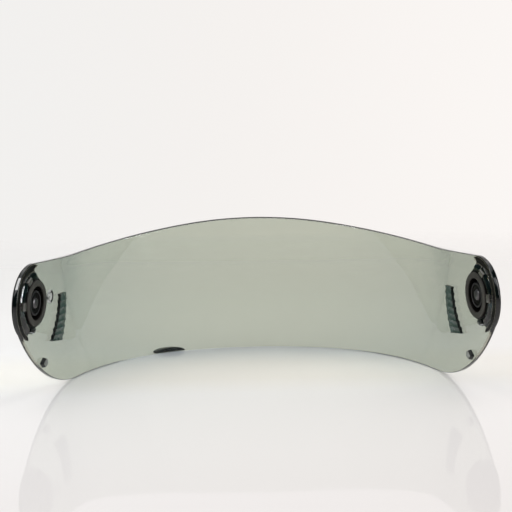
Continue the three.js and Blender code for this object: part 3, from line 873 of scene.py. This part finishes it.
print("hubs made")


# clips in the collar

clipSize = {
    "width": 4.2, "root": 13.5, "back": 15.4, "foot": 2.5, "hook": 12.7, "under": 3.5, "top": 4.1,
    "edge": 0.14, "paintedLightFrom": -10,
}


def clipPiece(name, turn, side, node):
    size = clipSize
    shape = [(size["root"], size["foot"]), (size["back"], size["foot"]), (size["back"], size["top"]),
             (size["hook"], size["top"]), (size["hook"], size["under"]), (size["root"], size["under"])]
    half = size["width"] / 2
    bm = bmesh.new()
    rows = [[bm.verts.new((x, way * half, z)) for x, z in shape] for way in (-1, 1)]
    count = len(shape)
    for i in range(count):
        bm.faces.new([rows[0][i], rows[0][(i + 1) % count], rows[1][(i + 1) % count], rows[1][i]])
    bm.faces.new(rows[0])
    bm.faces.new(rows[1][::-1])
    bmesh.ops.bevel(bm, geom=bm.edges[:], offset=size["edge"], segments=3, profile=0.5, affect="EDGES")
    cos, sin = math.cos(math.radians(turn)), math.sin(math.radians(turn))
    points = [(v.co.x * cos - v.co.y * sin, v.co.x * sin + v.co.y * cos, v.co.z) for v in bm.verts]
    bm.verts.index_update()
    faces = [[v.index for v in f.verts] for f in bm.faces]
    bm.free()
    # the clip at the foot of the collar takes the painted shade
    material = clipPaintedLight if turn > size["paintedLightFrom"] else clipPaintedShade
    return endPiece(name, (points, faces), side, material, node, sharpAngle=30)


for side, hand in ends:
    for number, turn in enumerate(shellLook["notchTurns"], 1):
        clipPiece(f"collarClip{hand.capitalize()}_{number}", turn, side, f"clip_{hand}_{number}")
print("clips made")


# detent racks

rackSize = {
    "root": 31.4, "tooth": 1.3, "outerTop": 40.1, "outerFoot": 44, "start": -2, "span": 50, "footLean": 13,
    "teeth": 7, "waveFlat": 0.04, "low": 2.5, "high": 4.5, "scoop": 0.45,
    "edge": 0.28, "edgeShare": 0.3, "columns": 168,
}


def rackSolid():
    size = rackSize
    sections = []
    for i in range(size["columns"] + 1):
        share = i / size["columns"]
        wave = abs(math.sin(share * size["teeth"] * math.pi))
        flat = size["waveFlat"]
        inner = size["root"] + size["tooth"] * math.sqrt(wave * wave * (1 - flat) + flat)
        outer = size["outerTop"] + (size["outerFoot"] - size["outerTop"]) * share
        rise = size["high"] - size["scoop"] * wave
        fade = min(1, min(share, 1 - share) * size["columns"] / 2)
        edge, soft = size["edge"], size["edge"] * size["edgeShare"]
        drop = edge * (1 - fade)
        a = np.array(polar(inner, math.radians(size["start"] + share * size["span"])))
        b = np.array(polar(outer, math.radians(size["start"] + share * (size["span"] - size["footLean"]))))
        way = (b - a) / np.linalg.norm(b - a)
        ring = [(a, size["low"]), (a, rise - edge - drop), (a + way * soft, rise - soft - drop),
                (a + way * edge, rise - drop), ((a + b) / 2, rise - drop), (b - way * edge, rise - drop),
                (b - way * soft, rise - soft - drop), (b, rise - edge - drop), (b, size["low"])]
        sections.append([(-p[0], -p[1], level) for p, level in ring])
    return lofted(sections)


# lock lugs: a five-sided block whose sides slope in, with a small raised rim on top

lugSize = {
    "reach": 7.4, "height": 5.7, "middleIn": 12.8, "middleDown": 33.9, "low": 2.5, "high": 4.6, "round": 0.25,
    "outlineShares": ((-0.03, 0.5), (-0.34, 0.39), (-0.5, -0.23), (0.03, -0.5), (0.5, 0)),
    # drop below the top, and the outline's share there
    "rows": ((0.22, 0.81), (0.066, 0.77), (0, 0.71), (0.12, 0.64)),
}


def lugSolid():
    size = lugSize
    sections = []
    for level, share in [(size["low"], 1)] + [(size["high"] - drop, share) for drop, share in size["rows"]]:
        corners = [(across * share * size["reach"], up * share * size["height"], size["round"] * share)
                   for across, up in size["outlineShares"]]
        sections.append([(x - size["middleIn"], y - size["middleDown"], level)
                         for x, y in rounded(corners, 3)])
    return lofted(sections)


blocks = {"rack": (rackSolid(), rackTint, "rack_"), "lockLug": (lugSolid(), lugTint, "lock_lug_")}
for side, hand in ends:
    for name, (solid, material, node) in blocks.items():
        endPiece(name + hand.capitalize(), solid, side, material, node + hand, sharpAngle=32)


# button beside the left hub, with a painted shade along the side toward the middle

buttonSize = {
    "middle": (-20.3, 1.1), "foot": 3.75, "shoulder": 3.6, "rim": 2.9, "dish": 2.7, "paintedShadeFrom": 2.2,
    "low": 2.5, "side": 3.4, "top": 3.5, "dishLevel": 3.2, "facets": 64,
}


def buttonPiece():
    size = buttonSize
    corners = [(0, size["low"], 0), (size["foot"], size["low"], 0.05), (size["shoulder"], size["side"], 0.6),
               (size["rim"], size["top"], 0.1), (size["dish"], size["dishLevel"], 0.1),
               (size["paintedShadeFrom"], size["dishLevel"], 0), (0, size["dishLevel"], 0)]
    across, up = size["middle"]
    solid = turned(rounded(corners), size["facets"], size["middle"])
    button = endPiece("indexButton", solid, -1, buttonPaleAndPaintedGlints, "index_button")
    # painted shade on the side toward the middle
    repaint(button, satinBlack, -1,
            lambda x, y, z: x < across and math.hypot(x - across, y - up) > size["paintedShadeFrom"])


buttonPiece()
print("racks, lugs and button made")


# lift tab on the outer face, left of the middle

tabSize = {
    "start": 50.7, "length": 21.8, "reach": 7, "height": 2.9, "lift": 0.6, "scoop": 0.8, "gap": 0.3,
    "endReachShare": 0.4, "endHeightShare": 0.12, "roundPower": 2.6, "heightPower": 2, "columns": 64,
    "bellyRound": 1.2, "lowRound": 0.5, "topRound": 0.8, "outerShare": 0.8, "crownShare": 0.2,
}


def tabPiece():
    size = tabSize
    sections = []
    for i in range(size["columns"] + 1):
        share = i / size["columns"] * 2 - 1
        run = -size["start"] - size["length"] * i / size["columns"]
        swell = max(0, 1 - abs(share) ** size["roundPower"]) ** (1 / size["roundPower"])
        reach = size["reach"] * (size["endReachShare"] + (1 - size["endReachShare"]) * swell)
        tall = size["endHeightShare"] + (1 - size["endHeightShare"]) * swell ** size["heightPower"]
        scoop = size["scoop"] * swell
        outer, crown = scoop * size["outerShare"], scoop * size["crownShare"]
        low, high = size["lift"], size["lift"] + size["height"] * tall
        belly, half = size["bellyRound"], reach / 2
        ring = rounded([(0, low, 0), (half, low + scoop, belly), (reach, low + outer, size["lowRound"]),
                        (reach, high - outer, size["topRound"]), (half, high - crown, belly),
                        (0, high, 0)], 3)
        outs = np.array([-size["gap"] - x for x, _ in ring])
        ups = np.array([y for _, y in ring])
        runs = np.full(len(ring), run)
        tip = shieldFrame(runs, ups)[3][:, 2]
        sections.append([tuple(p) for p in shieldPoint(runs, ups - outs * tip, outs)])
    points, faces = lofted(sections)
    piece = closedMesh("liftTab", points, faces, 40)
    return dress(piece, tabBlack, "visor", "lift_tab")


tabPiece()
print("lift tab made")


# table, light and camera

stageLook = {
    "skyStops": ((0, (0.880, 0.873, 0.860)), (0.5, (0.911, 0.879, 0.855)), (1, (0.970, 0.935, 0.910))),
    "skySpread": 0.26, "skyLight": 0.72,
    "sideDim": (0.05, 0.09, 0.085), "beside": (0.28, 0.46), "behind": (0.1, 0.4),
    "tableSize": 6, "tableLevel": -0.0002, "tableIor": 1.17, "tableRoughness": 0.035, "fade": (0.35, 1.6),
    # painted light on the table: across it, near the camera and under the visor
    "tablePaintedLightLeft": (0.911, 0.904, 0.898), "tablePaintedLightRight": (0.876, 0.847, 0.83), "tableSpread": 0.2,
    "tablePaintedShadeNear": (0.905, 0.886, 0.882), "near": (-0.28, -0.05),
    "tablePaintedLightUnder": (0.985, 0.962, 0.915), "under": (-0.06, -0.02), "beyond": (0.03, 0.08),
    "mirrorLeft": (0.55, 0.60, 0.46), "mirrorRight": (0.14, 0.32, 0.28), "mirrorSplit": 0.04,
}


def tableMaterial():
    material = bpy.data.materials.new("tableWhite")
    tree = emptyTree(material)
    look = stageLook
    place, apart = placeOf(tree)
    # painted light across the table: darker and warmer toward the right
    across = rangeOf(tree, apart["X"], 0, 1, -look["tableSpread"], look["tableSpread"])
    colour = colourMix(tree, look["tablePaintedLightLeft"], look["tablePaintedLightRight"], across)
    # painted light: duller toward the camera, warmer under the visor and plain beyond it
    within = rangeOf(tree, apart["Y"], 1, 0, *look["beyond"])
    for tint, span, low in (("tablePaintedShadeNear", "near", 1), ("tablePaintedLightUnder", "under", 0)):
        toward = rangeOf(tree, apart["Y"], low, 1 - low, *look[span])
        colour = colourMix(tree, colour, look[tint], mathOf(tree, "MULTIPLY", toward, within), "MULTIPLY")
    # seen through the wall after a mirror on it, the table is dim, so that the ends keep their black
    trail = addNode(tree, "LightPath", {})
    glossy = rangeOf(tree, trail["Glossy Depth"], 0, 1, 0, 1)
    mirrored = mathOf(tree, "MULTIPLY", glossy, trail["Is Transmission Ray"])
    half = rangeOf(tree, apart["X"], 0, 1, -look["mirrorSplit"], look["mirrorSplit"])
    dim = colourMix(tree, look["mirrorLeft"], look["mirrorRight"], half)
    shader = addNode(tree, "BsdfPrincipled", {
        "Base Color": colourMix(tree, colour, dim, mirrored), "IOR": look["tableIor"],
        "Roughness": look["tableRoughness"],
    })
    fade = rangeOf(tree, vectorOf(tree, "LENGTH", "Value", place), 0, 1, *look["fade"])
    far = addNode(tree, "BsdfTransparent", {})["BSDF"]
    addNode(tree, "OutputMaterial", {"Surface": shaderMix(tree, fade, shader["BSDF"], far)})
    return material


def tablePiece():
    half = stageLook["tableSize"] / 2
    mesh = bpy.data.meshes.new("table")
    corners = [(-half, -half, 0), (half, -half, 0), (half, half, 0), (-half, half, 0)]
    mesh.from_pydata(corners, [], [(0, 1, 2, 3)])
    mesh.materials.append(tableMaterial())
    piece = bpy.data.objects.new("table", mesh)
    piece.location.z = stageLook["tableLevel"]
    bpy.context.scene.collection.objects.link(piece)
    return piece


def paleWorld():
    # pale where it is seen ahead, dim at the sides and behind, and plain white where it lights
    look = stageLook
    world = bpy.data.worlds.new("paleStudio")
    bpy.context.scene.world = world
    tree = emptyTree(world)
    _, apart = placeOf(tree, "Generated")
    ramp = tree.nodes.new("ShaderNodeValToRGB")
    ramp.color_ramp.interpolation = "B_SPLINE"
    while len(ramp.color_ramp.elements) < len(look["skyStops"]):
        ramp.color_ramp.elements.new(0.5)
    for element, (place, colour) in zip(ramp.color_ramp.elements, look["skyStops"]):
        element.position = place
        element.color = (*colour, 1)
    across = rangeOf(tree, apart["X"], 0, 1, -look["skySpread"], look["skySpread"])
    tree.links.new(across, ramp.inputs["Fac"])
    beside = rangeOf(tree, mathOf(tree, "ABSOLUTE", apart["X"]), 0, 1, *look["beside"])
    off = mathOf(tree, "MAXIMUM", beside, rangeOf(tree, apart["Y"], 1, 0, *look["behind"]))
    sky = colourMix(tree, ramp.outputs["Color"], look["sideDim"], off)
    shown = addNode(tree, "Background", {"Color": sky})
    lit = addNode(tree, "Background", {"Color": (1, 1, 1, 1), "Strength": look["skyLight"]})
    trail = addNode(tree, "LightPath", {})
    seen = mathOf(tree, "MAXIMUM", trail["Is Camera Ray"], trail["Is Glossy Ray"])
    seen = mathOf(tree, "MAXIMUM", seen, trail["Is Transmission Ray"])
    mixed = shaderMix(tree, seen, lit["Background"], shown["Background"])
    addNode(tree, "OutputWorld", {"Surface": mixed})


# places in metres; a lamp with a roll shows only as a glint on the left end, and not in the table
lampLook = {
    "topLamp": {"place": (0, 0.1, 1.1), "target": (0, 0, 0), "size": (1.2, 0.9), "power": 3.5},
    "leftLamp": {"place": (-0.9, -0.7, 0.7), "target": (0, 0, 0.05), "size": (0.5, 0.7), "power": 2.2},
    "rightLamp": {"place": (0.9, -0.7, 0.7), "target": (0, 0, 0.05), "size": (0.5, 0.7), "power": 2.2},
    "streakLamp": {"place": (1.2, -0.42, 0.344), "target": (-0.12, -0.07, 0.05), "size": (0.22, 0.95),
                   "power": 16, "roll": -30},
    "edgeLamp": {"place": (-0.56, -0.4, 0.83), "target": (-0.12, -0.07, 0.05), "size": (0.25, 0.6),
                 "power": 6, "roll": 36},
}


def softLamp(name, place, target, size, power, roll=0):
    lamp = bpy.data.lights.new(name, "AREA")
    lamp.shape = "RECTANGLE"
    lamp.size, lamp.size_y = size
    lamp.energy = power
    holder = bpy.data.objects.new(name, lamp)
    holder.visible_camera = False
    holder.location = place
    aim = (Vector(target) - Vector(place)).to_track_quat("-Z", "Y").to_matrix().to_4x4()
    holder.rotation_euler = (aim @ Matrix.Rotation(math.radians(roll), 4, "Z")).to_euler()
    bpy.context.scene.collection.objects.link(holder)
    return holder


cameraLook = {
    "x": -1.6, "back": 681.7, "height": 113.45, "pitch": 4.309, "yaw": 0.207, "roll": 1.032,
    "focal": 1000, "frame": 512, "sensor": 36, "clip": (0.01, 50),
}


def placeCamera():
    look = cameraLook
    pitch, yaw, roll = (math.radians(look[key]) for key in ("pitch", "yaw", "roll"))
    forward = Vector((math.sin(yaw) * math.cos(pitch), math.cos(yaw) * math.cos(pitch), -math.sin(pitch)))
    level = Vector((math.cos(yaw), -math.sin(yaw), 0))
    upright = level.cross(forward)
    right = level * math.cos(roll) - upright * math.sin(roll)
    up = upright * math.cos(roll) + level * math.sin(roll)
    camera = bpy.data.cameras.new("camera")
    camera.sensor_width = look["sensor"]
    camera.lens = look["sensor"] * look["focal"] / look["frame"]
    camera.clip_start, camera.clip_end = look["clip"]
    holder = bpy.data.objects.new("camera", camera)
    spot = Vector((look["x"], frontY - look["back"], look["height"])) * mm
    holder.matrix_world = Matrix.Translation(spot) @ Matrix((right, up, -forward)).transposed().to_4x4()
    bpy.context.scene.collection.objects.link(holder)
    bpy.context.scene.camera = holder


table = tablePiece()
paleWorld()
takers = bpy.data.collections.new("glintTakers")
for piece in bpy.context.scene.objects:
    if piece.type == "MESH" and piece != table:
        takers.objects.link(piece)
for name, look in lampLook.items():
    lamp = softLamp(name, **look)
    if "roll" in look:
        lamp.visible_diffuse = False
        lamp.light_linking.receiver_collection = takers
placeCamera()
bpy.context.scene.view_settings.view_transform = "Standard"
print("stage, light and camera made")
